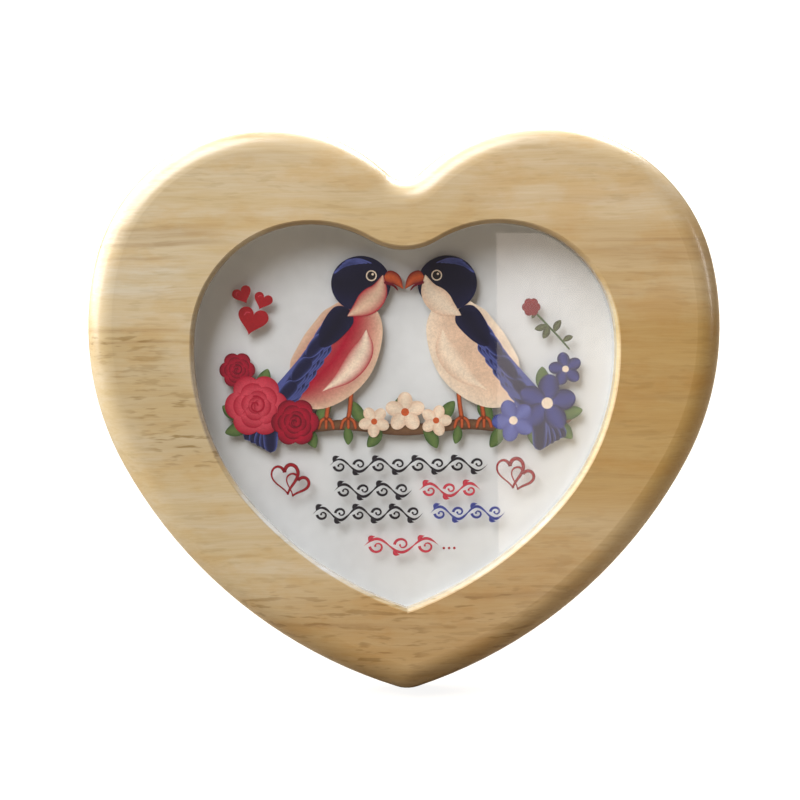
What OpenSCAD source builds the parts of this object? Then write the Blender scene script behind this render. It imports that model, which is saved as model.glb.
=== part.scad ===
// Heart shaped wooden photo frame with a printed clear sheet, a turn-button back and an easel strut.
// All pieces are drawn on the board: X to the right, Y up the board from the line through the lobe
// centres, Z out of the board, 0 at its back face. stand() then leans the board back on its tip.

/* [Heart outline] */
// Distance between the centres of the two lobes
lobe_gap = 88; // [80:0.5:96]
// Radius of a lobe
lobe_r = 56.6; // [52:0.1:62]
// Radius of the hip, the flatter stretch at the widest point
hip_r = 91.5; // [80:0.5:110]
// Angle above level at which the lobe hands over to the hip
hip_from = 13.3; // [8:0.1:18]
// Angle at which the hip hands over to the long side that runs down to the tip
side_from = -28.6; // [-34:0.1:-22]
// Angle at which the side hands over to the rounded tip
tip_from = -72.2; // [-74:0.1:-70]
// Radius of the rounded tip
tip_r = 11; // [10.5:0.1:16]
// Angle at which the lobe hands over to the hollow between the lobes
notch_from = 133.6; // [132:0.1:135]

/* [Opening] */
// How far the opening's lobe centres lie below the outer ones
opening_drop = 12.5; // [11:0.1:14]
// Distance between the centres of the opening's lobes
opening_lobe_gap = 60; // [56:0.5:64]
// How much smaller the opening's lobes are than the outer ones, on the radius
lobe_border = 19.1; // [16:0.1:20]
// Radius of the opening's hip
opening_hip_r = 75.5; // [70:0.5:90]
// Angle at which the opening's lobe hands over to its hip
opening_hip_from = 4.2; // [0:0.1:8]
// Radius of the opening's side
opening_side_r = 119.5; // [112:0.5:128]
// Angle at which the opening's hip hands over to its side
opening_side_from = -42; // [-46:0.1:-38]
// Angle at which the lobe hands over to the rounded point that hangs between the opening's lobes
opening_notch_from = 121; // [119:0.1:124]

/* [Board] */
// Thickness of the pine board
board_t = 18; // [16:0.1:24]
// Radius of the round-over on the outer front edge
round_over = 8; // [6:0.1:9]
// Eased corner of the outer back edge
back_ease = 1; // [0.5:0.1:2]
// Bevel on the front edge of the opening
opening_bevel = 1.3; // [0.4:0.1:1.5]
// Width of the lip in front of the glazing
lip_w = 6.5; // [5:0.1:8]

/* [Picture pack] */
// Thickness of the clear glazing sheet
glazing_t = 2; // [1.5:0.1:3]
// Thickness of the spacer ring
spacer_t = 3; // [2:0.1:4]
// Thickness of the white backing card
card_t = 1; // [0.6:0.1:1.5]
// Thickness of the hardboard back panel
panel_t = 3; // [2.4:0.1:3.6]
// Gap all round between the rebate and what lies in it
pack_gap = 0.5; // [0.3:0.1:0.8]
// How far the spacer ring stays hidden behind the lip
spacer_hide = 1; // [0.5:0.1:2]

/* [Turn buttons] */
// Thickness of a turn button
button_t = 1.2; // [0.8:0.1:1.6]
// Radius of its pivot end
button_r = 5; // [4.5:0.1:5.5]
// Radius of its pointed end
button_end_r = 3.2; // [2.5:0.1:4]
// Distance between the centres of its two ends
button_reach = 11; // [9.5:0.1:12]
// Distance from the rebate's edge to the pivot
button_set = 5.6; // [5:0.1:7]
// Radius of the pressed boss round its hole
button_boss_r = 3.4; // [3:0.1:4]
// Height of the pressed boss
button_boss_h = 0.3; // [0.2:0.1:0.4]
// Radius of a screw's shank
screw_r = 1.4; // [1.2:0.1:1.6]
// Depth of a screw in the wood
screw_depth = 9; // [7:0.1:10]
// Radius of a screw's pan head
screw_head_r = 2.9; // [2.5:0.1:3.2]
// Height of a screw's pan head
screw_head_h = 1.7; // [1.4:0.1:2]
// Length of the driver cross in a screw's head, end to end
driver_cross_l = 3.4; // [3:0.1:4]
// Width of the driver cross
driver_cross_w = 0.6; // [0.5:0.1:0.8]
// Depth of the driver cross
driver_cross_d = 0.9; // [0.6:0.1:1]
// Turn at which the driver crosses stand
driver_turn = 20; // [0:5:45]

/* [Easel] */
// Lean of the board from upright, in degrees
lean = 16; // [13:0.5:19]
// Angle between the open strut and the board
strut_open = 31; // [27:0.5:34]
// Height of the hinge pin above the tip, up the board
hinge_h = 118; // [112:0.5:122]
// Thickness of the strut
strut_t = 3; // [2.4:0.1:3.2]
// Half the strut's width at its top
strut_top_w = 12.6; // [12:0.1:13]
// Half the strut's width at its foot
strut_foot_w = 28; // [24:0.5:32]
// Width of each toe that the hollow foot leaves
toe_w = 11; // [8:0.5:14]
// Rise of the hollow between the toes
toe_rise = 4; // [2:0.5:6]
// Radius of the hinge pin
pin_r = 1; // [0.8:0.1:1.2]
// Radius of the pin's peened heads
pin_head_r = 1.7; // [1.5:0.1:2]
// Thickness of a peened head
pin_head_t = 0.6; // [0.4:0.1:0.8]
// Distance of the pin from the board's back face
pin_set = 4.3; // [4.2:0.1:5]
// Thickness of the hinge's steel sheet
leaf_t = 0.8; // [0.6:0.1:1]
// Half the width of the strut's leaf
leaf_w = 11; // [10:0.1:12]
// Length of the strut's leaf below the pin
leaf_l = 21; // [18:0.5:26]
// Half the width of the stop tongue
tongue_w = 4; // [3:0.1:5]
// Rounded corners of the hinge plates
plate_corner_r = 3; // [2:0.1:4]
// Length of the bracket's plate above the pin
bracket_up = 17; // [15:0.5:20]
// Length of the bracket's plate below the pin
bracket_down = 6; // [5:0.5:8]
// Radius of the bracket's ears round the pin
ear_r = 2.6; // [2.2:0.1:3]
// Angle below the pin at which an ear's flanks leave its round end
ear_blend = 20; // [10:1:30]
// Distance of the bracket's rivets from the centre line
bracket_rivet_x = 9; // [7:0.5:10]
// Distance of the bracket's rivets from its top edge
bracket_rivet_in = 4.5; // [4:0.5:7]
// Distance of the leaf's rivets from the centre line
leaf_rivet_x = 6; // [4:0.5:7]
// Distance of the leaf's rivets from its lower edge
leaf_rivet_in = 5.5; // [4:0.5:8]
// Radius of a rivet's shank
rivet_r = 1.2; // [1:0.1:1.5]
// Radius of a rivet's domed head
rivet_head_r = 2.3; // [2:0.1:2.6]
// Height of a rivet's domed head
rivet_head_h = 0.7; // [0.5:0.1:0.8]

/* [Wall fittings] */
// Length of the sawtooth hanger
hanger_l = 38; // [34:0.5:42]
// Height of the sawtooth hanger
hanger_h = 7; // [6:0.1:7.5]
// Thickness of its sheet
hanger_t = 0.7; // [0.5:0.1:1]
// How far its middle stands off the board
hanger_off = 1.8; // [1.2:0.1:2.5]
// Length of each nailed foot
hanger_foot = 7; // [6:0.1:8]
// Number of teeth
hanger_teeth = 9; // [5:2:13]
// Depth of the teeth
tooth_h = 1.6; // [1:0.1:2.2]
// Distance from the notch down to the hanger's top edge
hanger_drop = 2; // [1.2:0.1:3]
// Radius of a hanger nail
nail_r = 0.8; // [0.6:0.1:1]
// Depth of a hanger nail in the wood
nail_depth = 9; // [7:0.1:11]
// Radius of a nail's domed head
nail_head_r = 1.9; // [1.6:0.1:2.2]
// Height of a nail's domed head
nail_head_h = 0.8; // [0.5:0.1:1]
// Radius of a felt bumper
bumper_r = 5; // [4:0.5:6]
// Thickness of a felt bumper
bumper_t = 1.8; // [1.2:0.1:2]
// Eased edge of a felt bumper
bumper_ease = 0.4; // [0.2:0.1:0.6]
// Distance from the rebate's edge to a bumper's centre
bumper_set = 12; // [9:0.5:14]

/* [Fits] */
// Running clearance round pins and screws, on the radius
run_gap = 0.05; // [0.02:0.01:0.1]
// Gap between faces that slide over each other
slide_gap = 0.05; // [0.02:0.01:0.1]
// Gap left at a stop
stop_gap = 0.02; // [0.01:0.01:0.05]
// Side gap between the hinge's ears and the strut
ear_gap = 0.4; // [0.3:0.1:0.8]

/* [Hidden] */
$fn = 96;
over = 1;          // how far a cut runs past the face it opens
rim = 4;           // width of the rim that follows a sheet's outline
steps = 8;         // chords along each arc of what a rim encloses
land = 1.5;        // flat strip inside the round-over, where the moulded edge meets the flat middle
fold = 0.4;        // radius kept at the tip inside the round-over
past_tip = -78;    // angle to which the opening's sides are drawn, past the centre line

function at(c, r, a) = c + r * [cos(a), sin(a)];
function drop(a, b) = sqrt(a * a - b * b);

// A heart is a list of arcs: lobe, hip, side, tip, notch, on the right half of the outline.
// Each arc is [centre, radius, from angle, to angle] and runs on smoothly from the one before.
// Its arguments are the lobe's centre and radius, then each handover angle and the radius that follows it.
function heart(l, lobe, hip_a, hip, side_a, side, tip_a, tip, notch_a, grow) =
    let (h = at(l, lobe - hip, hip_a),
         s = at(h, hip - side, side_a),
         t = [0, tip > 0 ? at(s, side - tip, tip_a).y : s.y - drop(side + grow, s.x)],
         n = [0, l.y - l.x * tan(notch_a)],
         notch = -l.x / cos(notch_a) - lobe)
    [[l, lobe + grow, hip_a, notch_a], [h, hip + grow, side_a, hip_a], [s, side + grow, tip_a, side_a],
     [t, tip > 0 ? tip + grow : 0, -180 - tip_a, tip_a], [n, notch - grow, -notch_a, notch_a - 180]];

LOBE = 0;
HIP = 1;
SIDE = 2;
TIP = 3;
NOTCH = 4;

// The radius of the side, for which the tip comes to lie on the centre line.
side_r = (lobe_gap / 2 + (lobe_r - hip_r) * cos(hip_from) + hip_r * cos(side_from) - tip_r * cos(tip_from))
    / (cos(side_from) - cos(tip_from));
OUTER = heart([lobe_gap / 2, 0], lobe_r, hip_from, hip_r, side_from, side_r, tip_from, tip_r,
    notch_from, 0);

opening_lobe_r = lobe_r - lobe_border;

// The opening grown outward by so much. Its sides run past the centre line and are mitred on it.
function opening(grow) = heart([opening_lobe_gap / 2, -opening_drop], opening_lobe_r, opening_hip_from,
    opening_hip_r, opening_side_from, opening_side_r, past_tip, 0, opening_notch_from, grow);
OPENING = opening(0);

edge_r = min(round_over, tip_r - land - fold);  // a rounder edge would fold over at the tip
band = edge_r + land;                     // width of the moulded edge
rebate_t = glazing_t + spacer_t + card_t + panel_t;
glazing_z = panel_t + card_t + spacer_t;
tip_y = OUTER[TIP][0].y - tip_r;
hinge_y = tip_y + hinge_h;
barrel_r = pin_r + run_gap + leaf_t;      // outside of the rolled knuckles
leaf_in = pin_r + run_gap;                // the leaf's inner face, outward of the pin's axis
strut_top = barrel_r + ear_gap;           // the strut starts this far below the pin
ear_x = strut_top_w + ear_gap;            // inner face of an ear
// the tongue's corner comes down on the bracket's plate when the strut is open
tongue_l = (pin_set + leaf_in * cos(strut_open) - leaf_t - stop_gap) / sin(strut_open);

// Where the leaning board stands: its lowest edge is the eased corner at the back of the tip.
lift = -back_ease * sin(lean);
pin_y = hinge_h * sin(lean) + pin_set * cos(lean);
pin_z = hinge_h * cos(lean) - pin_set * sin(lean) + lift;
strut_lean = strut_open - lean;
foot_y = pin_y + leaf_in / cos(strut_lean) + pin_z * tan(strut_lean);
front_y = edge_r * sin(lean) - (board_t - edge_r) * cos(lean) - edge_r;
mid_y = (foot_y + front_y) / 2;

// Turn buttons: [arc of the opening, angle on it]
LOBE_SPOT = [LOBE, 78];
HIP_SPOT = [HIP, -12];
SIDE_SPOT = [SIDE, -50];
BUMPER_SPOT = [HIP, -36];

module stand() {
    translate([0, -mid_y, lift]) rotate([90 - lean, 0, 0]) translate([0, -tip_y, 0]) children();
}

// From the pin's axis, with Y up the strut, to the board.
module on_strut() {
    translate([0, hinge_y, -pin_set]) rotate([strut_open, 0, 0]) children();
}

// Moves to p in a rounded step and a small remainder, which keeps all of p's digits.
module place(p) {
    coarse = [for (c = p) round(c * 1000) / 1000];
    translate(coarse) translate(p - coarse) children();
}

// Points inset from a heart, from the notch down the right side to the tip and up the left.
function inner_points(h, inset) =
    let (notch = [for (i = [0 : steps]) at(h[NOTCH][0], h[NOTCH][1] + inset,
             -90 + (h[NOTCH][3] + 90) * i / steps)],
         body = [for (k = [LOBE : SIDE], i = [1 : steps]) at(h[k][0], h[k][1] - inset,
             h[k][3] + (h[k][2] - h[k][3]) * i / steps)],
         right = concat(notch, [for (p = body) if (p.x > abs(inset)) p]),
         tip = [0, h[SIDE][0].y - drop(h[SIDE][1] - inset, h[SIDE][0].x)],
         last = len(right) - 1)
    concat(right, [tip], [for (i = [last : -1 : 1]) [-right[i].x, right[i].y]]);

// Carries a profile along an arc. The profile's X = 0 is the outline, and negative X lies inside.
module along(arc, hollow = false) {
    place(arc[0]) rotate_extrude(angle = arc[3] - arc[2], start = arc[2])
        place([arc[1], 0]) mirror([hollow ? 1 : 0, 0]) children();
}

// Carries a profile all round a heart. A sharp point is mitred on the centre line.
module around(h) {
    reach = 2 * side_r;
    for (m = [0, 1]) mirror([m, 0, 0]) {
        along(h[LOBE]) children();
        along(h[HIP]) children();
        if (h[TIP][1] > 0) {
            along(h[SIDE]) children();
        } else intersection() {
            along(h[SIDE]) children();
            translate([0, -reach, -reach]) cube(2 * reach);
        }
    }
    if (h[TIP][1] > 0) along(h[TIP]) children();
    along(h[NOTCH], hollow = true) children();
}

// A flat sheet in the outline of a heart: a rim that follows its arcs, and what the rim encloses.
module sheet(h, thickness) {
    around(h) translate([-rim, 0]) square([rim, thickness]);
    linear_extrude(thickness) polygon(inner_points(h, rim / 2));
}

// The outer section of the moulding, from the flat front over the round-over to the eased back.
module outer_section() {
    difference() {
        polygon([[-band, 0], [-back_ease, 0], [0, back_ease], [0, board_t], [-band, board_t]]);
        translate([-edge_r, board_t - edge_r]) difference() {
            square(edge_r + over);
            circle(edge_r);
        }
    }
}

// The inner section: the bevelled sight edge, the lip in front of the glazing, and the rebate.
module inner_section() {
    w = lip_w + rim;
    polygon([[0, rebate_t], [0, board_t - opening_bevel], [opening_bevel, board_t], [w, board_t], [w, 0],
        [lip_w, 0], [lip_w, rebate_t]]);
}

// Puts a piece on the back of the board at a spot of the opening, off outward of the rebate's edge,
// with its own X pointing in towards the opening and its Z out of the back.
module at_spot(spot, off) {
    arc = OPENING[spot[0]];
    translate(at(arc[0], arc[1] + lip_w + off, spot[1])) rotate([0, 0, spot[1] + 180])
        mirror([0, 0, 1]) children();
}

module both_sides() {
    children();
    mirror([1, 0, 0]) children();
}

module both_ends() {
    children();
    mirror([0, 0, 1]) children();
}

// Stands a piece of the strut on the table, which cuts its foot off level.
module stand_on_table() {
    difference() {
        stand() on_strut() children();
        translate([-hinge_h, -hinge_h, -hinge_h]) cube([2 * hinge_h, 2 * hinge_h, hinge_h]);
    }
}

// A dome of radius r and height h on the XY plane, cut from a ball.
module dome(r, h) {
    ball_r = (r * r + h * h) / (2 * h);
    intersection() {
        translate([0, 0, h - ball_r]) sphere(ball_r);
        cylinder(r = r + over, h = h + over);
    }
}

module rivet(length) {
    translate([0, 0, -length]) cylinder(r = rivet_r, h = length);
    dome(rivet_head_r, rivet_head_h);
}

// Spots of the rivets: [x, y] on the board, and on the strut
BRACKET_RIVETS = [for (side = [-1, 1]) [side * bracket_rivet_x, hinge_y + bracket_up - bracket_rivet_in]];
STRUT_RIVETS = [for (side = [-1, 1]) [side * leaf_rivet_x, leaf_rivet_in - leaf_l]];
NAILS = [for (side = [-1, 1]) side * (hanger_l - hanger_foot) / 2];
hanger_top = OUTER[NOTCH][0].y - OUTER[NOTCH][1] - hanger_drop;

// The board: its moulded outer edge, its rebated opening, and the flat stretch between the two.
module heart_frame() {
    color("burlywood") stand() difference() {
        union() {
            around(OUTER) outer_section();
            around(OPENING) inner_section();
            linear_extrude(board_t) difference() {
                polygon(inner_points(OUTER, edge_r + land / 4));
                polygon(inner_points(OPENING, -lip_w - rim / 2));
            }
        }
        both_sides() for (spot = [LOBE_SPOT, HIP_SPOT, SIDE_SPOT]) {
            at_spot(spot, button_set) translate([0, 0, -screw_depth])
                cylinder(r = screw_r, h = screw_depth + over);
        }
        for (x = NAILS) {
            translate([x, hanger_top - hanger_h / 2, -over]) cylinder(r = nail_r, h = nail_depth + over);
        }
    }
}

module glazing() {
    color("lightcyan", 0.4) stand() translate([0, 0, glazing_z])
        sheet(opening(lip_w - pack_gap), glazing_t);
}

module spacer_ring() {
    color("white") stand() translate([0, 0, glazing_z - spacer_t]) difference() {
        sheet(opening(lip_w - pack_gap), spacer_t);
        translate([0, 0, -over]) sheet(opening(spacer_hide), spacer_t + 2 * over);
    }
}

module backing_card() {
    color("whitesmoke") stand() translate([0, 0, panel_t])
        sheet(opening(lip_w - pack_gap), card_t);
}

module back_panel() {
    color("saddlebrown") stand() difference() {
        sheet(opening(lip_w - pack_gap), panel_t);
        for (spot = BRACKET_RIVETS) translate([spot.x, spot.y, -over])
            cylinder(r = rivet_r, h = panel_t + 2 * over);
    }
}

// A flat tab, rounded at both ends, that tapers from its pivot end to its pointed end.
module button_outline() {
    a = acos((button_r - button_end_r) / button_reach);
    circle(button_r);
    translate([button_reach, 0]) circle(button_end_r);
    polygon([at([0, 0], button_r, a), at([0, 0], button_r, -a),
        at([button_reach, 0], button_end_r, -a), at([button_reach, 0], button_end_r, a)]);
}

module turn_button(spot) {
    color("goldenrod") stand() at_spot(spot, button_set) translate([0, 0, slide_gap]) difference() {
        union() {
            linear_extrude(button_t) button_outline();
            cylinder(r1 = button_boss_r + button_boss_h, r2 = button_boss_r,
                h = button_t + button_boss_h);
        }
        translate([0, 0, -over]) cylinder(r = screw_r + run_gap, h = button_t + 3 * over);
    }
}

module turn_button_left(spot) {
    mirror([1, 0, 0]) turn_button(spot);
}

module pan_head_screw() {
    seat = button_t + button_boss_h + 2 * slide_gap;
    corner_r = screw_head_h / 2;
    translate([0, 0, -screw_depth]) cylinder(r = screw_r, h = screw_depth + seat + corner_r);
    translate([0, 0, seat]) difference() {
        rotate_extrude() {
            square([screw_head_r, screw_head_h - corner_r]);
            square([screw_head_r - corner_r, screw_head_h]);
            translate([screw_head_r - corner_r, screw_head_h - corner_r]) intersection() {
                circle(corner_r);
                square(corner_r);
            }
        }
        for (turn = [0, 90]) {
            rotate([0, 0, turn + driver_turn])
                translate([-driver_cross_l / 2, -driver_cross_w / 2, screw_head_h - driver_cross_d])
                cube([driver_cross_l, driver_cross_w, driver_cross_d + over]);
        }
    }
}

module turn_button_screws() {
    color("silver") stand() both_sides() for (spot = [LOBE_SPOT, HIP_SPOT, SIDE_SPOT]) {
        at_spot(spot, button_set) pan_head_screw();
    }
}

// A plate from y0 up to y1, w to each side, with two or four rounded corners.
module plate_outline(w, y0, y1, corners) {
    difference() {
        translate([-w, y0]) square([2 * w, y1 - y0]);
        for (c = corners) {
            translate([c.x * (w - plate_corner_r), (c.y > 0 ? y1 : y0) - c.y * plate_corner_r])
                difference() {
                    mirror([1 - c.x, 0]) mirror([0, 1 - c.y]) square(plate_corner_r + over);
                    circle(plate_corner_r);
                }
        }
    }
}

module hinge_bracket() {
    w = ear_x + leaf_t;
    color("silver") stand() difference() {
        union() {
            translate([0, 0, -leaf_t]) linear_extrude(leaf_t)
                plate_outline(w, hinge_y - bracket_down, hinge_y + bracket_up, [[1, 1], [-1, 1]]);
            for (x = [-w, ear_x]) {
                translate([x, hinge_y, 0]) rotate([90, 0, 90]) linear_extrude(leaf_t) {
                    translate([0, -pin_set]) circle(ear_r);
                    polygon([[-bracket_down, 0], [-bracket_down, -leaf_t],
                        at([0, -pin_set], ear_r, ear_blend - 180), at([0, -pin_set], ear_r, -ear_blend),
                        [bracket_down, -leaf_t], [bracket_down, 0]]);
                }
            }
        }
        translate([-w - over, hinge_y, -pin_set]) rotate([0, 90, 0])
            cylinder(r = pin_r, h = 2 * (w + over));
        for (spot = BRACKET_RIVETS) translate([spot.x, spot.y, -leaf_t - over])
            cylinder(r = rivet_r, h = leaf_t + 2 * over);
    }
}

module bracket_rivets() {
    color("gray") stand() for (spot = BRACKET_RIVETS) {
        translate([spot.x, spot.y, -leaf_t]) mirror([0, 0, 1]) rivet(leaf_t + panel_t);
    }
}

module hinge_pin() {
    w = ear_x + leaf_t;
    color("silver") stand() translate([0, hinge_y, -pin_set]) rotate([0, 90, 0]) {
        translate([0, 0, -w]) cylinder(r = pin_r, h = 2 * w);
        both_ends() translate([0, 0, w]) dome(pin_head_r, pin_head_t);
    }
}

// The leaf's section across the pin: a rolled knuckle whose sheet runs down the strut's outer face.
module knuckle_section() {
    difference() {
        union() {
            circle(barrel_r);
            translate([-strut_top - over, -barrel_r]) square([strut_top + over, leaf_t]);
        }
        circle(pin_r + run_gap);
    }
}

module strut_hinge_leaf() {
    knuckle_w = leaf_w - tongue_w - ear_gap;
    color("silver") stand() on_strut() difference() {
        union() {
            for (x = [-leaf_w, leaf_w - knuckle_w]) {
                translate([x, 0, 0]) rotate([90, 0, 90]) linear_extrude(knuckle_w) knuckle_section();
            }
            translate([0, 0, -barrel_r]) linear_extrude(leaf_t) {
                plate_outline(leaf_w, -leaf_l, -strut_top, [[1, -1], [-1, -1]]);
                translate([-tongue_w, -strut_top - over])
                    square([2 * tongue_w, strut_top + over + tongue_l]);
            }
        }
        for (spot = STRUT_RIVETS) translate([spot.x, spot.y, -barrel_r - over])
            cylinder(r = rivet_r, h = leaf_t + 2 * over);
    }
}

module strut_rivets() {
    color("gray") stand() on_strut() for (spot = STRUT_RIVETS) {
        translate([spot.x, spot.y, -barrel_r]) mirror([0, 0, 1]) rivet(leaf_t + strut_t);
    }
}

// A board that widens downward, its foot hollowed between two toes.
module easel_strut() {
    length = pin_z / cos(strut_lean);
    hollow_w = strut_foot_w - toe_w;
    hollow_r = (hollow_w * hollow_w + toe_rise * toe_rise) / (2 * toe_rise);
    slope = (strut_foot_w - strut_top_w) / (length - strut_top);
    run = length + strut_t;
    run_w = strut_top_w + slope * (run - strut_top);
    color("peru") stand_on_table() difference() {
        translate([0, 0, -leaf_in]) linear_extrude(strut_t)
            polygon([[-strut_top_w, -strut_top], [strut_top_w, -strut_top],
                [run_w, -run], [-run_w, -run]]);
        translate([0, toe_rise - hollow_r - length, -leaf_in - over])
            cylinder(r = hollow_r, h = strut_t + 2 * over);
        for (spot = STRUT_RIVETS) translate([spot.x, spot.y, -leaf_in - over])
            cylinder(r = rivet_r, h = strut_t + 2 * over);
    }
}

// The hanger's section along its length: two nailed feet and a middle that stands off the board.
module hanger_section() {
    end = hanger_l / 2;
    foot = end - hanger_foot;
    top = foot - hanger_off;
    bend = hanger_t / 2;
    rise = hanger_off + hanger_t;
    polygon([[-end, 0], [-foot, 0], [-top, hanger_off], [top, hanger_off], [foot, 0], [end, 0],
        [end, hanger_t], [foot + bend, hanger_t], [top + bend, rise], [-top - bend, rise],
        [-foot - bend, hanger_t], [-end, hanger_t]]);
}

module sawtooth_hanger() {
    teeth_w = hanger_l - 2 * hanger_foot - 2 * hanger_off - 2 * hanger_t;
    pitch = teeth_w / hanger_teeth;
    color("gold") stand() translate([0, hanger_top, 0]) rotate([90, 0, 0]) difference() {
        mirror([0, 1, 0]) linear_extrude(hanger_h) hanger_section();
        translate([0, over, hanger_h]) rotate([90, 0, 0]) linear_extrude(hanger_off + hanger_t + 2 * over)
            polygon([[-teeth_w / 2, over], for (i = [0 : hanger_teeth - 1]) each
                [[-teeth_w / 2 + i * pitch, 0], [-teeth_w / 2 + (i + 0.5) * pitch, -tooth_h]],
                [teeth_w / 2, 0], [teeth_w / 2, over]]);
        for (x = NAILS) translate([x, over, hanger_h / 2]) rotate([90, 0, 0])
            cylinder(r = nail_r, h = hanger_t + 2 * over);
    }
}

module hanger_nails() {
    color("goldenrod") stand() for (x = NAILS) {
        translate([x, hanger_top - hanger_h / 2, -hanger_t]) mirror([0, 0, 1]) {
            translate([0, 0, -hanger_t - nail_depth]) cylinder(r = nail_r, h = hanger_t + nail_depth);
            dome(nail_head_r, nail_head_h);
        }
    }
}

module wall_bumpers() {
    color("dimgray") stand() both_sides() at_spot(BUMPER_SPOT, bumper_set) {
        cylinder(r = bumper_r, h = bumper_t - bumper_ease);
        translate([0, 0, bumper_t - bumper_ease])
            cylinder(r1 = bumper_r, r2 = bumper_r - bumper_ease, h = bumper_ease);
    }
}

heart_frame();
glazing();
spacer_ring();
backing_card();
back_panel();
turn_button_left(LOBE_SPOT);  // turn_button_lobe_left
turn_button(LOBE_SPOT);  // turn_button_lobe_right
turn_button_left(HIP_SPOT);  // turn_button_hip_left
turn_button(HIP_SPOT);  // turn_button_hip_right
turn_button_left(SIDE_SPOT);  // turn_button_side_left
turn_button(SIDE_SPOT);  // turn_button_side_right
turn_button_screws();
hinge_bracket();
bracket_rivets();
hinge_pin();
strut_hinge_leaf();
strut_rivets();
easel_strut();
sawtooth_hanger();
hanger_nails();
wall_bumpers();
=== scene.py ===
"""Looks of the heart shaped photo frame: lacquered pine, a printed clear sheet, and the fitted back."""

import math

import bpy
import numpy as np
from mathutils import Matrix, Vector


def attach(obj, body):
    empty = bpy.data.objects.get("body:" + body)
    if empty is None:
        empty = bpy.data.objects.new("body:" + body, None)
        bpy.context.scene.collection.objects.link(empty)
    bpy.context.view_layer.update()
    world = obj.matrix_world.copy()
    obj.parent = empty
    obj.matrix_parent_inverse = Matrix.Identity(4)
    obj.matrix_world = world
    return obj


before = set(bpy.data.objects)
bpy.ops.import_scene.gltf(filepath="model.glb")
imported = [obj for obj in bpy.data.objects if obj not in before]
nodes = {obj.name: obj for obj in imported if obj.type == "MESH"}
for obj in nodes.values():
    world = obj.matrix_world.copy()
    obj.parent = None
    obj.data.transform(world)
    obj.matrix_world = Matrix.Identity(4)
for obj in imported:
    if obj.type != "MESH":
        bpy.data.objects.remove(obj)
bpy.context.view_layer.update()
scene = bpy.context.scene
scene.view_settings.view_transform = "Standard"

# ---------------------------------------------------------------- the board's own frame
LEAN = math.radians(16.0)       # the board leans back
TIP_Y = -0.124336               # the tip, up the board from the line through the lobe centres
MID_Y = 0.0261699               # the middle of the standing frame's depth, behind the tip
LIFT = -0.000275637             # lets the rounded tip down on to the table
GLAZING_BACK = 0.007            # back face of the clear sheet, from the board's back


def board(p):
    """World places of points on the board: x right, y up the board, z out of it, in metres."""
    p = np.asarray(p, float)
    v = p[..., 1] - TIP_Y
    y = v * math.sin(LEAN) - p[..., 2] * math.cos(LEAN) - MID_Y
    z = v * math.cos(LEAN) + p[..., 2] * math.sin(LEAN) + LIFT
    return np.stack([p[..., 0], y, z], -1)


def turned(d):
    """World direction of a direction on the board."""
    return board(d) - board((0.0, 0.0, 0.0))


# ---------------------------------------------------------------- node shorthand
def tone(r, g, b):
    """Linear colour of a screen colour from 0 to 255."""
    c = np.array([r, g, b], float) / 255.0
    c = np.where(c <= 0.04045, c / 12.92, ((c + 0.055) / 1.055) ** 2.4)
    return (float(c[0]), float(c[1]), float(c[2]), 1.0)


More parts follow.
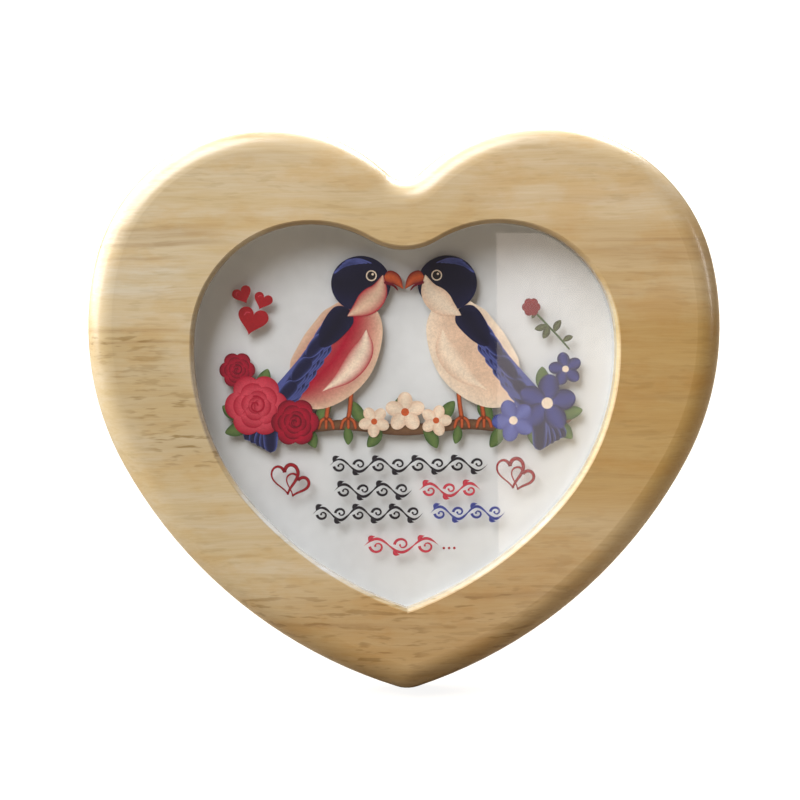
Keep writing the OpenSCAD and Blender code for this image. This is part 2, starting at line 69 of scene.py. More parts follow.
class Graph:
    """The nodes of one material, made by short calls. An input is a number, a colour or a socket."""

    def __init__(self, name):
        self.material = bpy.data.materials.new(name)
        self.material.use_nodes = True
        self.tree = self.material.node_tree
        self.tree.nodes.clear()
        self.output = self.tree.nodes.new("ShaderNodeOutputMaterial")

    def add(self, kind, inputs=None, **settings):
        made = self.tree.nodes.new("ShaderNode" + kind)
        for name, value in settings.items():
            setattr(made, name, value)
        for key, value in (inputs or {}).items():
            if isinstance(value, bpy.types.NodeSocket):
                self.tree.links.new(value, made.inputs[key])
            else:
                made.inputs[key].default_value = value
        return made

    def math(self, operation, a, b=0.0):
        return self.add("Math", {0: a, 1: b}, operation=operation).outputs[0]

    def times(self, a, b):
        return self.math("MULTIPLY", a, b)

    def off(self, value, middle):
        """How far the value is from middle, either way."""
        return self.math("ABSOLUTE", self.math("SUBTRACT", value, middle))

    def range(self, value, low, high, to_low=0.0, to_high=1.0):
        spread = {"Value": value, "From Min": low, "From Max": high, "To Min": to_low, "To Max": to_high}
        return self.add("MapRange", spread, interpolation_type="SMOOTHSTEP").outputs[0]

    def mix(self, factor, a, b, blend="MIX"):
        made = self.add("Mix", {0: factor, 6: a, 7: b}, data_type="RGBA", blend_type=blend)
        return made.outputs[2]

    def tint(self, factor, colour, by):
        """The colour multiplied by another, by so much."""
        return self.mix(factor, colour, (*by, 1.0), "MULTIPLY")

    def ramp(self, factor, low, high):
        """A colour between two stops, each a position and a colour."""
        made = self.add("ValToRGB", {"Fac": factor})
        band = made.color_ramp.elements
        band[0].position, band[0].color = low
        band[1].position, band[1].color = high
        return made.outputs["Color"]

    def scaled(self, vector, scale, location=(0.0, 0.0, 0.0)):
        return self.add("Mapping", {"Vector": vector, "Scale": scale, "Location": location}).outputs[0]

    def noise(self, vector, detail=3.0, rough=0.55):
        spread = {"Vector": vector, "Scale": 1.0, "Detail": detail, "Roughness": rough}
        return self.add("TexNoise", spread).outputs["Fac"]

    def place(self):
        """The object's coordinates, turned to the board's own frame."""
        where = self.add("TexCoord").outputs["Object"]
        shift = (0.0, LIFT * -math.cos(LEAN) + MID_Y * math.sin(LEAN) + TIP_Y,
                 -MID_Y * math.cos(LEAN) - LIFT * math.sin(LEAN))
        turn = {"Vector": where, "Rotation": (LEAN - math.pi / 2, 0.0, 0.0), "Location": shift}
        return self.add("Mapping", turn).outputs[0]

    def bump(self, height, strength, distance):
        return self.add("Bump", {"Height": height, "Strength": strength, "Distance": distance}).outputs[0]

    def surface(self, **inputs):
        made = self.add("BsdfPrincipled", {k.replace("_", " "): v for k, v in inputs.items()})
        self.tree.links.new(made.outputs[0], self.output.inputs["Surface"])
        return self.material


# ---------------------------------------------------------------- materials
def pine():
    """Clear-lacquered pine, its grain along the board's x."""
    g = Graph("pine")
    p = g.place()
    axes = g.add("SeparateXYZ", {"Vector": p})
    x, y, z = axes.outputs[0], axes.outputs[1], axes.outputs[2]
    # the grain runs level but sways a little up and down
    sway = g.noise(g.scaled(p, (16.0, 30.0, 26.0)), detail=3.0)
    lifted = g.math("ADD", y, g.times(g.math("SUBTRACT", sway, 0.5), 0.006))
    flow = g.add("CombineXYZ", {0: x, 1: lifted, 2: z}).outputs[0]
    bands = g.noise(g.scaled(flow, (15.0, 150.0, 80.0)), detail=3.0, rough=0.6)
    rings = g.noise(g.scaled(flow, (17.0, 420.0, 150.0)), detail=4.0, rough=0.6)
    fibres = g.noise(g.scaled(flow, (90.0, 2100.0, 900.0)), detail=2.0)
    cloud = g.noise(g.scaled(p, (38.0, 76.0, 50.0), (0.3, 0.7, 0.0)), detail=5.0, rough=0.65)
    # the tone drifts over the board: pale on top, golden at the right, tan at the bottom
    golden = g.math("ADD", g.range(lifted, 0.029, 0.020, 0.0, 0.5), g.range(lifted, 0.006, -0.010, 0.0, 0.5))
    golden = g.times(golden, g.range(x, -0.020, 0.055))
    wood = g.mix(g.times(golden, g.range(y, -0.075, -0.055, 0.5, 1.0)), PALE_PINE, GOLD_PINE)
    tip = g.math("SUBTRACT", g.times(x, 0.10), g.times(y, 0.75))
    wood = g.mix(g.range(tip, 0.058, 0.078), wood, TAN_PINE)
    # a browner streak, rich in pores, slants down the left side
    slope = g.math("ADD", g.math("ADD", x, 0.100), g.times(y, 0.7))
    stretch = g.times(g.range(y, -0.004, -0.014), g.range(y, -0.058, -0.046))
    streak = g.times(g.range(g.math("ABSOLUTE", slope), 0.020, 0.006), stretch)
    wood = g.tint(streak, wood, STREAK)
    wood = g.tint(g.range(x, 0.000, -0.070), wood, LEFT_SIDE)
    # a shade deeper in the saddle between the lobes, and a pale stripe on the left lobe
    level = g.range(g.off(y, 0.022), 0.023, 0.010)
    wood = g.tint(g.times(g.range(g.math("ABSOLUTE", x), 0.040, 0.018), level), wood, SADDLE)
    stripe = g.range(g.off(lifted, 0.0075), 0.0060, 0.0015)
    wood = g.tint(g.times(stripe, g.range(x, -0.066, -0.078)), wood, PALE_STRIPE)
    wood = g.tint(g.range(bands, 0.38, 0.60), wood, BAND)
    wood = g.tint(g.range(rings, 0.60, 0.36, 0.0, 0.5), wood, RING)
    wood = g.tint(g.range(cloud, 0.46, 0.64), wood, CLOUD)
    wood = g.tint(g.range(fibres, 0.60, 0.36), wood, FIBRE)
    for height, half, start, end, depth in LATEWOOD:
        across = g.range(g.off(lifted, height), half * 0.2, half, 1.0, 0.0)
        left = g.range(x, start - LATE_FADE, start + LATE_FADE)
        right = g.range(x, end + LATE_FADE, end - LATE_FADE)
        broken = g.range(rings, 0.36, 0.6, 1.0, 0.5)
        amount = g.times(g.times(left, right), g.times(broken, depth))
        wood = g.tint(g.times(across, amount), wood, LATE)
    # short dark pores, thickest in the streak and at the foot
    dashes = g.range(g.noise(g.scaled(flow, (110.0, 680.0, 320.0)), detail=2.0), 0.52, 0.63)
    foot = g.times(g.range(y, -0.085, -0.097), g.range(x, 0.070, 0.045))
    patch = g.range(g.noise(g.scaled(p, (34.0, 70.0, 50.0)), detail=2.0), 0.42, 0.58)
    dense = g.math("MAXIMUM", streak, g.times(foot, 0.7))
    dense = g.times(dense, g.range(patch, 0.0, 1.0, 0.45, 1.0))
    dense = g.math("MAXIMUM", dense, g.times(patch, 0.22))
    wood = g.tint(g.times(dashes, dense), wood, PORE)
    # a few round specks
    cells = g.add("TexVoronoi", {"Vector": p, "Scale": 34.0, "Randomness": 1.0})
    speck = g.times(g.range(cells.outputs["Distance"], 0.030, 0.016), g.range(x, 0.01, 0.04))
    wood = g.tint(speck, wood, SPECK)
    # the cut edge of the opening lies within an oval, above the two slanted sides, below the front face
    oval = g.add("VectorMath", {0: g.scaled(p, (11.9, 13.9, 0.0), (0.0, 0.556, 0.0))}, operation="LENGTH")
    slant = g.math("SUBTRACT", g.times(g.math("ABSOLUTE", x), 0.8), y)
    inside = g.times(g.range(oval.outputs["Value"], 1.035, 1.010), g.range(slant, 0.113, 0.108))
    rim = g.times(inside, g.range(z, 0.01785, 0.01740))
    # painted shade browns its upper left, which faces away from the key lamp, and a painted highlight makes
    # it paler and creamier where it faces the light
    upper = g.math("ADD", g.times(x, -0.47), g.times(y, 0.88))
    wood = g.tint(g.times(rim, g.range(upper, -0.022, -0.004)), wood, RIM_PAINTED_SHADE)
    wood = g.tint(g.times(rim, g.range(upper, -0.022, -0.036)), wood, RIM_PAINTED_HIGHLIGHT)
    grain = g.bump(g.math("ADD", rings, g.times(fibres, 0.5)), 0.12, 0.0002)
    waves = g.noise(g.scaled(p, (26.0, 60.0, 40.0)), detail=2.0)
    coat = g.bump(waves, 0.25, 0.0006)
    return g.surface(Base_Color=wood, Roughness=0.42, IOR=1.5, Normal=grain, Coat_Weight=0.85,
                     Coat_Roughness=0.24, Coat_IOR=1.5, Coat_Normal=coat)


PALE_PINE = tone(205, 187, 156)
GOLD_PINE = tone(183, 151, 92)
TAN_PINE = tone(185, 155, 108)
# what each feature of the wood multiplies its colour by
STREAK = (0.90, 0.86, 0.77)
LEFT_SIDE = (0.91, 0.94, 0.96)
SADDLE = (0.91, 0.89, 0.82)
PALE_STRIPE = (1.04, 1.15, 1.42)
BAND = (0.96, 0.91, 0.79)
RING = (0.91, 0.87, 0.79)
CLOUD = (0.97, 0.90, 0.78)
FIBRE = (0.96, 0.94, 0.90)
LATE = (0.60, 0.48, 0.34)
PORE = (0.60, 0.53, 0.37)
SPECK = (0.45, 0.35, 0.25)
# painted shade and painted highlight for the cut edge of the opening, chosen by which way it faces the key
# lamp
RIM_PAINTED_SHADE = (0.60, 0.58, 0.57)
RIM_PAINTED_HIGHLIGHT = (1.30, 1.65, 2.60)
LATE_FADE = 0.012               # over which a latewood line fades, each way from its ends
# the darker latewood lines: height up the board, half width, start and end in x, depth of tone
LATEWOOD = ((0.0225, 0.0030, -0.100, -0.060, 0.50), (0.0188, 0.0014, -0.104, -0.062, 0.70),
            (0.0140, 0.0010, -0.095, -0.070, 0.40), (-0.0090, 0.0012, -0.108, -0.072, 0.45),
            (-0.0125, 0.0008, -0.100, -0.070, 0.40), (0.0192, 0.0010, 0.062, 0.100, 0.50),
            (0.0155, 0.0042, 0.060, 0.104, 0.35), (0.0330, 0.0020, 0.020, 0.080, 0.25),
            (-0.0300, 0.0016, 0.075, 0.110, 0.25), (-0.0560, 0.0012, 0.048, 0.075, 0.40),
            (-0.0930, 0.0014, 0.010, 0.075, 0.35), (-0.1030, 0.0010, -0.040, 0.020, 0.40))


def clear_sheet():
    """A clear plastic sheet: see-through, with the mirror gloss of its faces."""
    g = Graph("clear_sheet")
    p = g.place()
    haze = g.range(g.noise(g.scaled(p, (40.0, 40.0, 40.0))), 0.35, 0.65, 0.965, 0.99)
    tint = g.add("CombineColor", {0: haze, 1: haze, 2: g.math("ADD", haze, 0.006)}).outputs[0]
    through = g.add("BsdfTransparent", {"Color": tint})
    gloss = g.add("BsdfGlossy", {"Color": (1.0, 1.0, 1.0, 1.0), "Roughness": 0.015})
    bend = g.add("Fresnel", {"IOR": 1.49}).outputs[0]
    outside = g.math("SUBTRACT", 1.0, g.add("NewGeometry").outputs["Backfacing"])
    share = g.times(bend, outside)
    both = g.add("MixShader", {0: share, 1: through.outputs[0], 2: gloss.outputs[0]})
    g.tree.links.new(both.outputs[0], g.output.inputs["Surface"])
    return g.material


def mottled(name, low, high, scale, roughness, metallic=0.0, bump=0.1, depth=0.0002, detail=4.0, **more):
    """A surface whose tone wanders between low and high, with a fine bump of the same pattern."""
    g = Graph(name)
    p = g.place()
    drift = g.noise(g.scaled(p, scale), detail=detail, rough=0.6)
    colour = g.ramp(drift, (0.32, low), (0.68, high))
    rough = g.range(drift, 0.3, 0.7, roughness * 0.85, roughness * 1.15)
    grit = g.noise(g.scaled(p, tuple(4.0 * s for s in scale)), detail=2.0)
    normal = g.bump(grit, bump, depth)
    return g.surface(Base_Color=colour, Roughness=rough, Metallic=metallic, Normal=normal, **more)


def ink_material():
    """Printed ink: its colour is painted on the mesh, broken by the fine grain of the print."""
    g = Graph("print_ink")
    paint = g.add("Attribute", attribute_name="ink", attribute_type="GEOMETRY").outputs["Color"]
    p = g.place()
    grain = g.range(g.noise(g.scaled(p, (1500.0, 1500.0, 1500.0)), detail=2.0), 0.3, 0.7, 0.90, 1.06)
    wash = g.range(g.noise(g.scaled(p, (160.0, 160.0, 160.0)), detail=2.0), 0.3, 0.7, 0.92, 1.05)
    both = g.times(grain, wash)
    colour = g.mix(1.0, paint, g.add("CombineColor", {0: both, 1: both, 2: both}).outputs[0], "MULTIPLY")
    return g.surface(Base_Color=colour, Roughness=0.5, Specular_IOR_Level=0.3)


WOOD = pine()
CLEAR = clear_sheet()
CARD = mottled("white_card", tone(224, 228, 229), tone(229, 233, 234), (300.0, 300.0, 300.0), 0.7,
               bump=0.05)
FOAM = mottled("spacer_board", tone(226, 224, 219), tone(238, 236, 232), (500.0, 500.0, 900.0), 0.75)
HARDBOARD = mottled("hardboard", tone(108, 80, 56), tone(128, 98, 71), (170.0, 210.0, 200.0), 0.55, bump=0.3,
                    detail=9.0)
STRUT = mottled("strut_board", tone(98, 72, 51), tone(118, 90, 66), (210.0, 160.0, 200.0), 0.55, bump=0.3,
                detail=9.0)
BRASS = mottled("button_brass", tone(196, 158, 84), tone(222, 188, 112), (260.0, 260.0, 260.0), 0.26, 1.0)
HANGER = mottled("hanger_brass", tone(190, 150, 76), tone(224, 186, 108), (900.0, 120.0, 300.0), 0.30, 1.0)
SCREW = mottled("steel_screws", tone(196, 197, 200), tone(224, 225, 226), (600.0, 600.0, 600.0), 0.22, 1.0)
STEEL = mottled("hinge_steel", tone(160, 162, 166), tone(196, 197, 199), (90.0, 1400.0, 500.0), 0.36, 1.0)
RIVET = mottled("rivet_steel", tone(170, 171, 174), tone(204, 205, 206), (500.0, 500.0, 500.0), 0.30, 1.0)
FELT = mottled("felt", tone(38, 35, 33), tone(62, 58, 55), (1800.0, 1800.0, 1800.0), 0.95, bump=0.8,
               depth=0.0004, Sheen_Weight=0.6, Sheen_Roughness=0.5)

DRESS = {"heart_frame": WOOD, "glazing": CLEAR, "spacer_ring": FOAM, "backing_card": CARD,
         "back_panel": HARDBOARD, "turn_button_screws": SCREW, "hinge_bracket": STEEL,
         "bracket_rivets": RIVET, "hinge_pin": RIVET, "strut_hinge_leaf": STEEL, "strut_rivets": RIVET,
         "easel_strut": STRUT, "sawtooth_hanger": HANGER, "hanger_nails": HANGER, "wall_bumpers": FELT}
for name, node in nodes.items():
    finish = DRESS.get(name, BRASS)
    for place in node.material_slots:
        place.material = finish

# ---------------------------------------------------------------- the print, as films of ink
NAVY = tone(27, 30, 66)
DEEP = tone(16, 18, 44)
BLUE = tone(58, 66, 140)
SKY = tone(92, 104, 176)
CRIMSON = tone(176, 22, 52)
WINE = tone(112, 12, 36)
GARNET = tone(148, 22, 32)
ROSE = tone(214, 74, 92)
RED = tone(170, 30, 40)
BEIGE = tone(228, 196, 168)
CREAM = tone(244, 226, 202)
GREEN = tone(62, 92, 52)
MOSS = tone(104, 128, 72)
OLIVE = tone(92, 100, 62)
SHADE_GREEN = tone(46, 56, 36)
BARK = tone(86, 60, 44)
TWIG = tone(122, 90, 64)
BLACK = tone(30, 28, 34)
SMOKE = tone(58, 56, 66)
ORANGE = tone(206, 96, 52)
FILM = 0.005                    # step between films of ink that lie on each other, in millimetres
DEEPEST = 0.70                  # the deepest film's distance behind the sheet, in millimetres
NEAR = 120                      # films from here on lie within 0.1 mm of the sheet


def spline(points, count):
    """Points at equal steps along the smooth curve through the given ones (Catmull-Rom)."""
    p = np.asarray(points, float)
    if p.ndim == 1:
        p = p[:, None]
    padded = np.concatenate([2 * p[:1] - p[1:2], p, 2 * p[-1:] - p[-2:-1]])
    t = np.linspace(0.0, len(p) - 1.000001, count)
    i = t.astype(int)
    u = (t - i)[:, None]
    a, b, c, d = padded[i], padded[i + 1], padded[i + 2], padded[i + 3]
    return 0.5 * (2 * b + (c - a) * u + (2 * a - 5 * b + 4 * c - d) * u ** 2
                  + (3 * b - a - 3 * c + d) * u ** 3)


def ribbon(centre, half, across=7):
    """A band along a centre line: each row is centre + side * half width * v, with v from -1 to 1."""
    along = np.gradient(centre, axis=0)
    along /= np.linalg.norm(along, axis=1)[:, None] + 1e-12
    side = np.stack([-along[:, 1], along[:, 0]], -1)
    v = np.linspace(-1.0, 1.0, across)
    return centre[:, None, :] + side[:, None, :] * np.asarray(half)[:, None, None] * v[None, :, None]


def turn2(p, degrees):
    """Points turned about the origin of their plane."""
    a = math.radians(degrees)
    return p @ np.array([[math.cos(a), math.sin(a)], [-math.sin(a), math.cos(a)]])


class Print:
    """Collects films of ink, in millimetres on the board, and makes them one piece."""

    def __init__(self):
        self.points, self.colours, self.faces, self.count = [], [], [], 0

    def film(self, grid, inner, outer, layer, edge=1.6):
        """One film from a grid of points. Its colour runs from inner, along its middle, to outer."""
        n, m = grid.shape[:2]
        v = np.abs(np.linspace(-1.0, 1.0, m))[None, :, None] ** edge
        colour = np.broadcast_to(np.array(inner) * (1 - v) + np.array(outer) * v, (n, m, 4))
        height = np.full((n, m, 1), GLAZING_BACK * 1000 - DEEPEST + layer * FILM)
        i, j = np.meshgrid(np.arange(n - 1), np.arange(m - 1), indexing="ij")
        a = (self.count + i * m + j).ravel()
        quads = np.stack([a, a + m, a + m + 1, a + 1], -1)
        corner = grid[1, 0] - grid[0, 0]
        side = grid[0, -1] - grid[0, 0] + grid[1, -1] - grid[1, 0]
        if corner[0] * side[1] - corner[1] * side[0] < 0:
            quads = quads[:, ::-1]
        self.points.append(np.concatenate([grid, height], -1).reshape(-1, 3))
        self.colours.append(colour.reshape(-1, 4))
        self.faces.append(quads)
        self.count += n * m

    def stroke(self, points, half, inner, outer, layer, count=36, ends="round", across=7, edge=1.6):
        """A brush stroke through points. half is its half width, or widths along it."""
        centre = spline(points, count)
        width = spline(np.broadcast_to(np.asarray(half, float), (len(points),)) if np.ndim(half) == 0
                       else half, count)[:, 0]
        t = np.linspace(0.0, 1.0, count)
        if ends == "round":
            length = np.linalg.norm(np.diff(centre, axis=0), axis=1).sum()
            cap = max(np.max(width) / max(length, 1e-6), 0.02)
            near = np.minimum(np.minimum(t, 1 - t) / cap, 1.0)
            width = width * np.sqrt(np.clip(1 - (1 - near) ** 2, 0.0, 1.0))
        elif ends == "point":
            width = width * np.sin(np.pi * t) ** 0.7
        elif ends == "tail":
            width = width * (1 - t) ** 0.8
        self.film(ribbon(centre, width + 0.004, across), inner, outer, layer, edge)

    def disc(self, centre, radius, inner, outer, layer, squash=1.0, turn=0.0, count=40):
        """A round or oval spot, as a bundle of chords from one side to the other."""
        t = np.linspace(0.0, np.pi, count)
        v = np.linspace(-1.0, 1.0, 9)
        x = -np.cos(t)[:, None] + 0 * v[None, :]
        y = np.sin(t)[:, None] * v[None, :] * squash
        grid = turn2(np.stack([x, y], -1) * radius, turn) + np.asarray(centre, float)
        self.film(grid, inner, outer, layer)

    def piece(self, name, material):
        """All the films as one mesh, with their colours as the attribute ink."""
        points = np.concatenate(self.points) / 1000.0
        mesh = bpy.data.meshes.new(name)
        mesh.from_pydata(board(points).tolist(), [], np.concatenate(self.faces).tolist())
        paint = mesh.color_attributes.new("ink", "FLOAT_COLOR", "POINT")
        paint.data.foreach_set("color", np.concatenate(self.colours).astype(np.float32).ravel())
        mesh.materials.append(material)
        mesh.update()
        made = bpy.data.objects.new(name, mesh)
        scene.collection.objects.link(made)
        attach(made, "frame")


def moved(points, origin, scale=1.0, turn=0.0, flip=False):
    """Points of a motif, mirrored if flip, scaled, turned and set at its origin."""
    p = np.asarray(points, float) * scale
    if flip:
        p = p * np.array([-1.0, 1.0])
    return turn2(p, turn) + np.asarray(origin, float)


BIRD_SCALE = 1.1                # of the bird's points as drawn below, in millimetres


def bird(art, origin, flip, crown, wing, edge, breast, throat, base):
    """A perching bird that looks inward: tail, body, layered wing, head, beak and eye."""
    def at(points):
        return moved(points, origin, BIRD_SCALE, 0.0, flip)

    for k in range(5):
        end = (-23.0 + 1.9 * k, -4.9 - 1.0 * k)
        middle = (-14.5, 2.8 - 0.5 * k)
        art.stroke(at([(-7, 9), middle, end]), [2.4, 2.7, 2.0], wing, edge, base + k, across=9, edge=5.0)
    art.stroke(at([(-11, 7), (-4, 11), (4, 19), (9, 29), (11, 37)]), [3.4, 9.6, 12.4, 10.4, 7.0],
               breast, throat, base + 6, across=13)
    art.stroke(at([(13, 27), (12, 21), (7, 14), (0, 9)]), [2.5, 3.8, 3.4, 1.6], CREAM, breast, base + 7,
               across=9, ends="point")
    for k in range(7):
        root = (1.5 - 1.3 * k, 25.0 - 2.4 * k)
        middle = (-7.4 - 0.8 * k, 13.5 - 1.4 * k)
        end = (-21.0 + 1.0 * k, 0.6 - 0.4 * k)
        art.stroke(at([root, middle, end]), [2.6, 3.2, 1.7], wing, edge, base + 8 + k, across=11, edge=6.0)
    for row in range(4):
        for k in range(7 - row):
            start = (5.5 - 2.2 * k - 1.1 * row, 32.0 - 3.4 * k - 3.0 * row)
            end = (start[0] - 5.6, start[1] - 6.2)
            mid = ((start[0] + end[0]) / 2 + 0.5, (start[1] + end[1]) / 2 + 0.9)
            art.stroke(at([start, mid, end]), [2.0, 2.4, 1.7], wing, edge, base + 27 - 3 * row - k % 2,
                       count=20, across=9, edge=6.0)
    art.stroke(at([(8, 33), (4.5, 29), (-0.5, 22)]), [3.6, 4.2, 2.4], crown, wing, base + 28, across=9)
    art.disc(at([(11.5, 40.5)])[0], 9.6, crown, wing, base + 29, squash=0.93)
    art.stroke(at([(18.0, 43.0), (16.5, 38.0), (12.5, 34.0), (7.5, 31.0)]), [1.8, 3.5, 3.9, 2.2],
               throat, breast, base + 30, across=9, ends="point")
    for k in range(5):
        comb = at([(3.5 + 0.8 * k, 43.5 + 0.9 * k), (6.5 + 1.1 * k, 45.6 + 0.5 * k), (10.0 + 1.2 * k, 46.4)])
        art.stroke(comb, [0.3, 0.35, 0.2], edge, edge, base + 30, count=16, across=3)
    art.stroke(at([(18.4, 42.6), (21.5, 41.8), (24.0, 38.8)]), [2.4, 1.9, 0.2], ORANGE, WINE, base + 31,
               count=24)
    art.stroke(at([(18.2, 40.9), (21.0, 39.9), (22.4, 38.4)]), [0.5, 0.35, 0.2], WINE, WINE, base + 32,
               count=16)
    eye = at([(14.6, 42.8)])[0]
    art.disc(eye, 1.75, CREAM, CREAM, base + 32)
    art.disc(eye, 1.35, BLACK, BLACK, base + 33)
    art.disc(eye + np.array([0.4, 0.45]), 0.38, CREAM, CREAM, base + 34, count=16)
    for foot in (1.0, 7.5):
        art.stroke(at([(foot + 1.0, 9.5), (foot + 0.6, 5.0), (foot, 0.5)]), 0.75, ORANGE, BARK,
                   base + 5, count=16)
        for toe in (-1.5, 0.0, 1.5):
            art.stroke(at([(foot, 1.2), (foot + toe, 0.2), (foot + toe * 1.5, -2.2)]), 0.6, ORANGE, BARK,
                       base + 5, count=14)


def rose(art, centre, radius, light, dark, base):
    """An open rose: rings of overlapping petals that close to a bud."""
    centre = np.asarray(centre, float)
    rings = ((0.68, 0.46, 6), (0.46, 0.38, 5), (0.26, 0.30, 4), (0.10, 0.22, 3))
    for ring, (reach, size, petals) in enumerate(rings):
        for k in range(petals):
            angle = 360.0 * k / petals + 37.0 * ring
            out = turn2(np.array([[reach * radius, 0.0]]), angle)[0]
            art.disc(centre + out, size * radius, light, dark, base + 8 * ring + k, squash=0.86,
                     turn=angle + 90.0, count=22)
    spiral = np.linspace(0.0, 2.6 * np.pi, 40)
    curl = np.stack([np.cos(spiral), np.sin(spiral)], -1) * (0.05 + 0.045 * spiral)[:, None] * radius * 0.8
    art.film(ribbon(curl + centre, np.full(40, 0.03 * radius), 3), dark, dark, base + 34)


def blossom(art, centre, radius, light, dark, heart, base, turn=0.0):
    """A flower of five petals round a small eye."""
    centre = np.asarray(centre, float)
    for k in range(5):
        angle = 72.0 * k + turn
        out = turn2(np.array([[0.56 * radius, 0.0]]), angle)[0]
        art.disc(centre + out, 0.46 * radius, light, dark, base + k, squash=0.82, turn=angle, count=24)
    art.disc(centre, 0.2 * radius, heart, heart, base + 6, count=20)


def leaf(art, root, turn, length, base, light=MOSS, dark=GREEN):
    """A pointed leaf with a pale midrib."""
    spine = [(0, 0), (0.5, 0.06), (1.0, 0.0)]
    vein = moved(spine, root, length, turn)
    art.stroke(vein, [0.26 * length] * 3, light, dark, base, count=26, ends="point")
    art.stroke(vein, [0.02 * length] * 3, MOSS, MOSS, base + 1, count=16, across=3, ends="tail")


def heart_line(size, count=72, tall=1.0):
    """The outline of a heart of that width, centred, as points. Its height is stretched by tall."""
    t = np.linspace(0.0, 2 * np.pi, count)
    x = 16 * np.sin(t) ** 3
    y = 13 * np.cos(t) - 5 * np.cos(2 * t) - 2 * np.cos(3 * t) - np.cos(4 * t)
    return np.stack([x, (y + 2.0) * tall], -1) * size / 32.0


def full_heart(art, centre, size, turn, layer, colour=RED):
    """A filled heart: rings that shrink to a point a little above its middle."""
    line = heart_line(size, 61)
    v = np.linspace(1.0, 0.0, 7)
    grid = line[:, None, :] * v[None, :, None] + np.array([0.0, 0.06 * size]) * (1 - v)[None, :, None]
    art.film(turn2(grid, turn) + np.asarray(centre, float), colour, colour, layer)
    glint = moved([(-0.30, 0.12), (-0.25, 0.24), (-0.12, 0.27)], centre, size, turn)
    art.stroke(glint, 0.035 * size, ROSE, colour, layer + 1, count=14, across=3)


def open_heart(art, centre, size, turn, layer, tall, colour=RED):
    """The outline of a heart, drawn with a pen that swells and thins."""
    line = turn2(heart_line(size, tall=tall), turn) + np.asarray(centre, float)
    width = 0.040 * size * (1.25 + 0.55 * np.sin(np.linspace(0.0, 2 * np.pi, len(line)) + 0.8))
    art.film(ribbon(line, width, 5), colour, WINE, layer)


def scroll(art, start, end, height, curls, colour, shade, layer, rise=2.0):
    """A running scroll: a wavy stem with a curl and a small leaf in each bend."""
    t = np.linspace(0.0, 1.0, 30 * curls)
    span = end - start
    wave = np.stack([start + span * t, height + rise * np.sin(np.pi * curls * t)], -1)
    swell = 0.20 + 0.26 * np.abs(np.sin(np.pi * curls * t))
    art.film(ribbon(wave, swell * np.minimum(1.0, 8 * np.minimum(t, 1 - t) + 0.15), 5), colour, shade, layer)
    pitch = span / curls
    for k in range(curls):
        side = 1 if k % 2 == 0 else -1
        root = np.array([start + pitch * (k + 0.18), height + side * rise * 0.5])
        a = np.linspace(0.0, 1.9 * np.pi, 34)
        size = (1.0 - a / (2.6 * np.pi)) * min(pitch * 0.30, 1.5 * rise)
        centre = np.array([start + pitch * (k + 0.52), height - side * rise * 0.12])
        curl = centre + np.stack([-np.cos(a), side * -np.sin(a) * 0.9], -1) * size[:, None]
        art.film(ribbon(curl, 0.36 * (1 - a / (2.3 * np.pi)) + 0.10, 5), colour, shade, layer + 1)
        art.disc(curl[-1], 0.36, colour, shade, layer + 2, count=14)
        art.stroke([root, root + np.array([0.6, side * 1.5]), root + np.array([2.1, side * 2.0])],
                   [0.40, 0.70, 0.15], colour, shade, layer + 1, count=14, ends="point", across=5)


INK = ink_material()

flora = Print()
flora.stroke([(-56, -38.0), (-40, -41.0), (-20, -39.5), (0, -41.3), (20, -39.6), (38, -41.2), (54, -38.4)],
             [0.9, 1.5, 1.7, 1.8, 1.7, 1.5, 0.8], TWIG, BARK, 6, count=90)
# each leaf's root on the branch, its turn in degrees and its length
BRANCH_LEAVES = (((-50, -38), 205, 9), ((-44, -39), 246, 8), ((-33, -40), 300, 8), ((-8, -40), 238, 8),
                 ((6, -40.5), 302, 8), ((31, -40), 244, 8), ((47, -39), 322, 9), ((50, -38), 20, 8),
                 ((-28, -39), 60, 8), ((28, -39), 112, 9), ((-52, -37), 150, 8), ((40, -40), 285, 7),
                 ((-2, -39), 75, 10), ((12, -39), 60, 8), ((-13, -39), 118, 8), ((-46, -30), 78, 9),
                 ((46, -30), 100, 9), ((17, -40), 262, 6), ((-19, -40), 275, 6))
for root, turn, length in BRANCH_LEAVES:
    leaf(flora, root, turn, length, 8)
# each flower's centre, radius, colours and deepest film
rose(flora, (-48.0, -33.0), 9.4, ROSE, CRIMSON, 60)
rose(flora, (-35.5, -38.5), 7.2, CRIMSON, WINE, 100)
rose(flora, (-54.0, -21.5), 5.4, CRIMSON, WINE, 20)
blossom(flora, (46.0, -33.0), 9.2, BLUE, NAVY, CREAM, 60, 12)
blossom(flora, (35.0, -38.5), 6.8, SKY, BLUE, CREAM, 70, 40)
blossom(flora, (52.0, -22.0), 5.4, BLUE, NAVY, CREAM, 20, 30)
blossom(flora, (0.0, -35.5), 6.4, CREAM, BEIGE, ORANGE, 60, 18)
blossom(flora, (-10.0, -38.5), 5.0, CREAM, BEIGE, ORANGE, 70, 50)
blossom(flora, (10.0, -38.3), 5.0, CREAM, BEIGE, ORANGE, 70, 0)
flora.piece("print_branch_and_flowers", INK)

birds = Print()
bird(birds, (-26.6, -38.5), False, DEEP, NAVY, SKY, CRIMSON, BEIGE, 22)
bird(birds, (26.6, -38.5), True, DEEP, NAVY, SKY, BEIGE, CREAM, 22)
birds.piece("print_love_birds", INK)

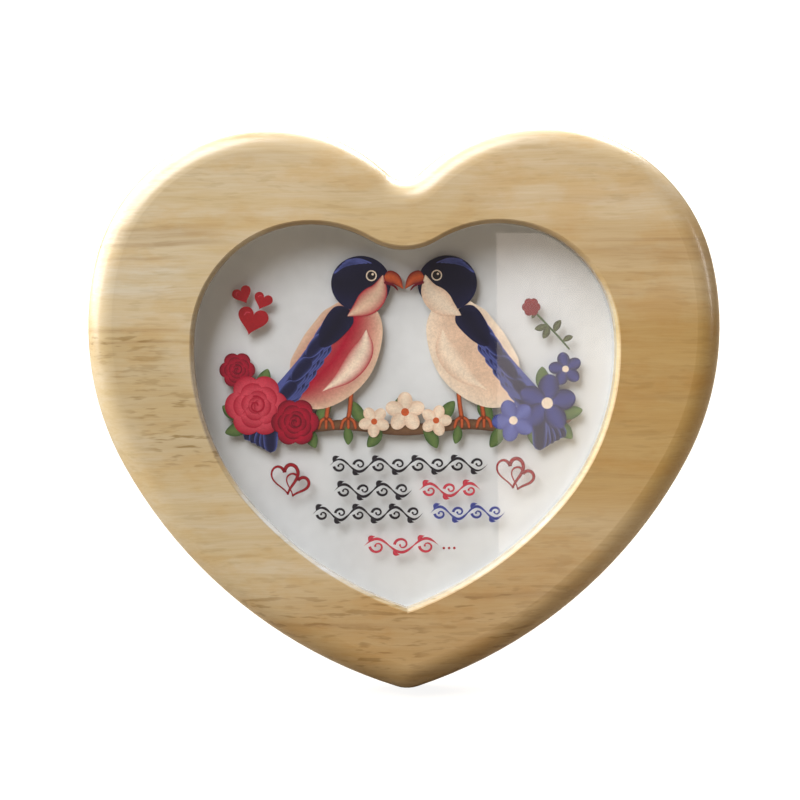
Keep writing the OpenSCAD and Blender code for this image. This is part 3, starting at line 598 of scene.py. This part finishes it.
sprig = Print()
sprig.stroke([(41.2, -2.6), (45.5, -7.0), (50.0, -11.8), (53.4, -15.8)], [0.32, 0.3, 0.3, 0.25],
             GREEN, GREEN, NEAR - 32, across=3)
rose(sprig, (41.0, -1.9), 2.8, GARNET, WINE, NEAR - 24)
SPRIG_LEAVES = (((46.0, -7.6), 200, 4.2), ((46.4, -7.8), 250, 4.6), ((48.4, -10.0), 60, 4.4),
                ((51.2, -13.0), 25, 3.6), ((42.2, -3.4), 245, 2.4))
for root, turn, length in SPRIG_LEAVES:
    leaf(sprig, root, turn, length, NEAR - 30, OLIVE, SHADE_GREEN)
sprig.piece("print_rose_sprig", INK)

hearts = Print()
full_heart(hearts, (-52.0, 2.5), 6.3, 24, NEAR)
full_heart(hearts, (-45.7, 0.5), 6.1, -22, NEAR)
full_heart(hearts, (-49.1, -5.9), 9.9, -15, NEAR)
open_heart(hearts, (-38.7, -57.0), 8.6, 8, NEAR, 1.22)
open_heart(hearts, (-35.3, -59.0), 7.4, -20, NEAR + 2, 1.05)
open_heart(hearts, (34.1, -55.6), 8.6, 7, NEAR, 1.22)
open_heart(hearts, (37.4, -57.5), 7.4, -20, NEAR + 2, 1.05)
hearts.piece("print_hearts", INK)

scrolls = Print()
scroll(scrolls, -24.5, 26.5, -52.6, 8, BLACK, SMOKE, NEAR)
scroll(scrolls, -23.0, 2.0, -60.7, 4, BLACK, SMOKE, NEAR)
scroll(scrolls, 4.5, 24.0, -60.7, 3, ROSE, RED, NEAR)
scroll(scrolls, -30.0, 5.5, -68.2, 6, BLACK, SMOKE, NEAR)
scroll(scrolls, 8.0, 32.0, -68.2, 4, BLUE, SKY, NEAR)
scroll(scrolls, -13.5, 10.5, -78.6, 3, ROSE, RED, NEAR, rise=2.2)
for k in range(3):
    scrolls.disc((12.2 + 1.7 * k, -79.6), 0.42, RED, RED, NEAR + 2, count=14)
scrolls.piece("print_scrolls", INK)


# ---------------------------------------------------------------- floor, light and camera
def floor():
    """A wide pale floor. What the camera sees of it is lifted to white, and it keeps the shadow."""
    half = 5.0
    mesh = bpy.data.meshes.new("floor")
    corners = [(-half, -half, 0), (half, -half, 0), (half, half, 0), (-half, half, 0)]
    mesh.from_pydata(corners, [], [(0, 1, 2, 3)])
    made = bpy.data.objects.new("floor", mesh)
    scene.collection.objects.link(made)
    g = Graph("pale_floor")
    path = g.add("LightPath")
    diffuse = g.add("BsdfDiffuse", {"Color": (0.20, 0.17, 0.13, 1.0)})
    lift = g.add("Emission", {"Color": (1.0, 1.0, 1.0, 1.0),
                              "Strength": g.times(path.outputs["Is Camera Ray"], 0.90)})
    both = g.add("AddShader", {0: diffuse.outputs[0], 1: lift.outputs[0]})
    g.tree.links.new(both.outputs[0], g.output.inputs["Surface"])
    mesh.materials.append(g.material)


def aim(place, target):
    """The rotation that looks from place at target."""
    return (Vector(target) - Vector(place)).to_track_quat("-Z", "Y").to_euler()


def around(target, distance, tilt, swing):
    """The place that far from target, tilt degrees off the board's outward normal, towards swing
    degrees from the board's x."""
    t, s = math.radians(tilt), math.radians(swing)
    way = turned((math.sin(t) * math.cos(s), math.sin(t) * math.sin(s), math.cos(t)))
    return target + way * distance


def lamp(name, place, target, size, power, colour):
    """A soft rectangular lamp at place, aimed at target. Size is its width and height in metres."""
    data = bpy.data.lights.new(name, "AREA")
    data.shape = "RECTANGLE"
    data.size, data.size_y = size
    data.energy = power
    data.color = colour
    made = bpy.data.objects.new(name, data)
    made.location = place
    made.rotation_euler = aim(place, target)
    scene.collection.objects.link(made)


floor()
PICTURE = board((0.0, -0.035, 0.018))       # the middle of the opening, in the front face
LAMP_AWAY = 1.2
COOL = (1.0, 1.0, 0.98)
# name, tilt and swing from the picture, width and height, power, colour
LAMPS = (("window_key", 53, 118, (0.55, 0.9), 13.8, (1.0, 1.0, 1.0)),
         ("window_edge", 94, 148, (1.6, 1.4), 35.0, COOL),
         ("window_top", 120, 92, (1.5, 0.8), 38.0, COOL),
         ("window_right", 80, 14, (0.12, 0.40), 1.4, (1.0, 0.97, 0.93)))
for name, tilt, swing, size, power, colour in LAMPS:
    lamp(name, around(PICTURE, LAMP_AWAY, tilt, swing), PICTURE, size, power, colour)
# a tall panel in front, whose mirror image lies over the right part of the clear sheet
PANEL_X, PANEL_Y, PANEL_AWAY = 0.124, -0.17, 0.95
lamp("front_panel", board((PANEL_X, PANEL_Y, PANEL_AWAY)), board((PANEL_X, PANEL_Y, 0.0)), (0.078, 0.44),
     0.29, (1.0, 0.87, 0.76))

world = bpy.data.worlds.new("soft_room")
scene.world = world
world.use_nodes = True
room = world.node_tree.nodes["Background"]
room.inputs["Color"].default_value = (1.0, 0.83, 0.69, 1.0)
room.inputs["Strength"].default_value = 0.22

CAMERA_TARGET = board((-0.0019, -0.0313, 0.018))
CAMERA_AWAY = 0.95
CAMERA_TILT = 2.1               # degrees off the board's outward normal
CAMERA_SWING = 135              # the way it is tilted, in degrees from the board's x
camera_data = bpy.data.cameras.new("camera")
camera_data.sensor_width = 36.0
camera_data.lens = 134.0
camera = bpy.data.objects.new("camera", camera_data)
camera_place = around(CAMERA_TARGET, CAMERA_AWAY, CAMERA_TILT, CAMERA_SWING)
camera.location = camera_place
camera.rotation_euler = aim(camera_place, CAMERA_TARGET)
scene.collection.objects.link(camera)
scene.camera = camera
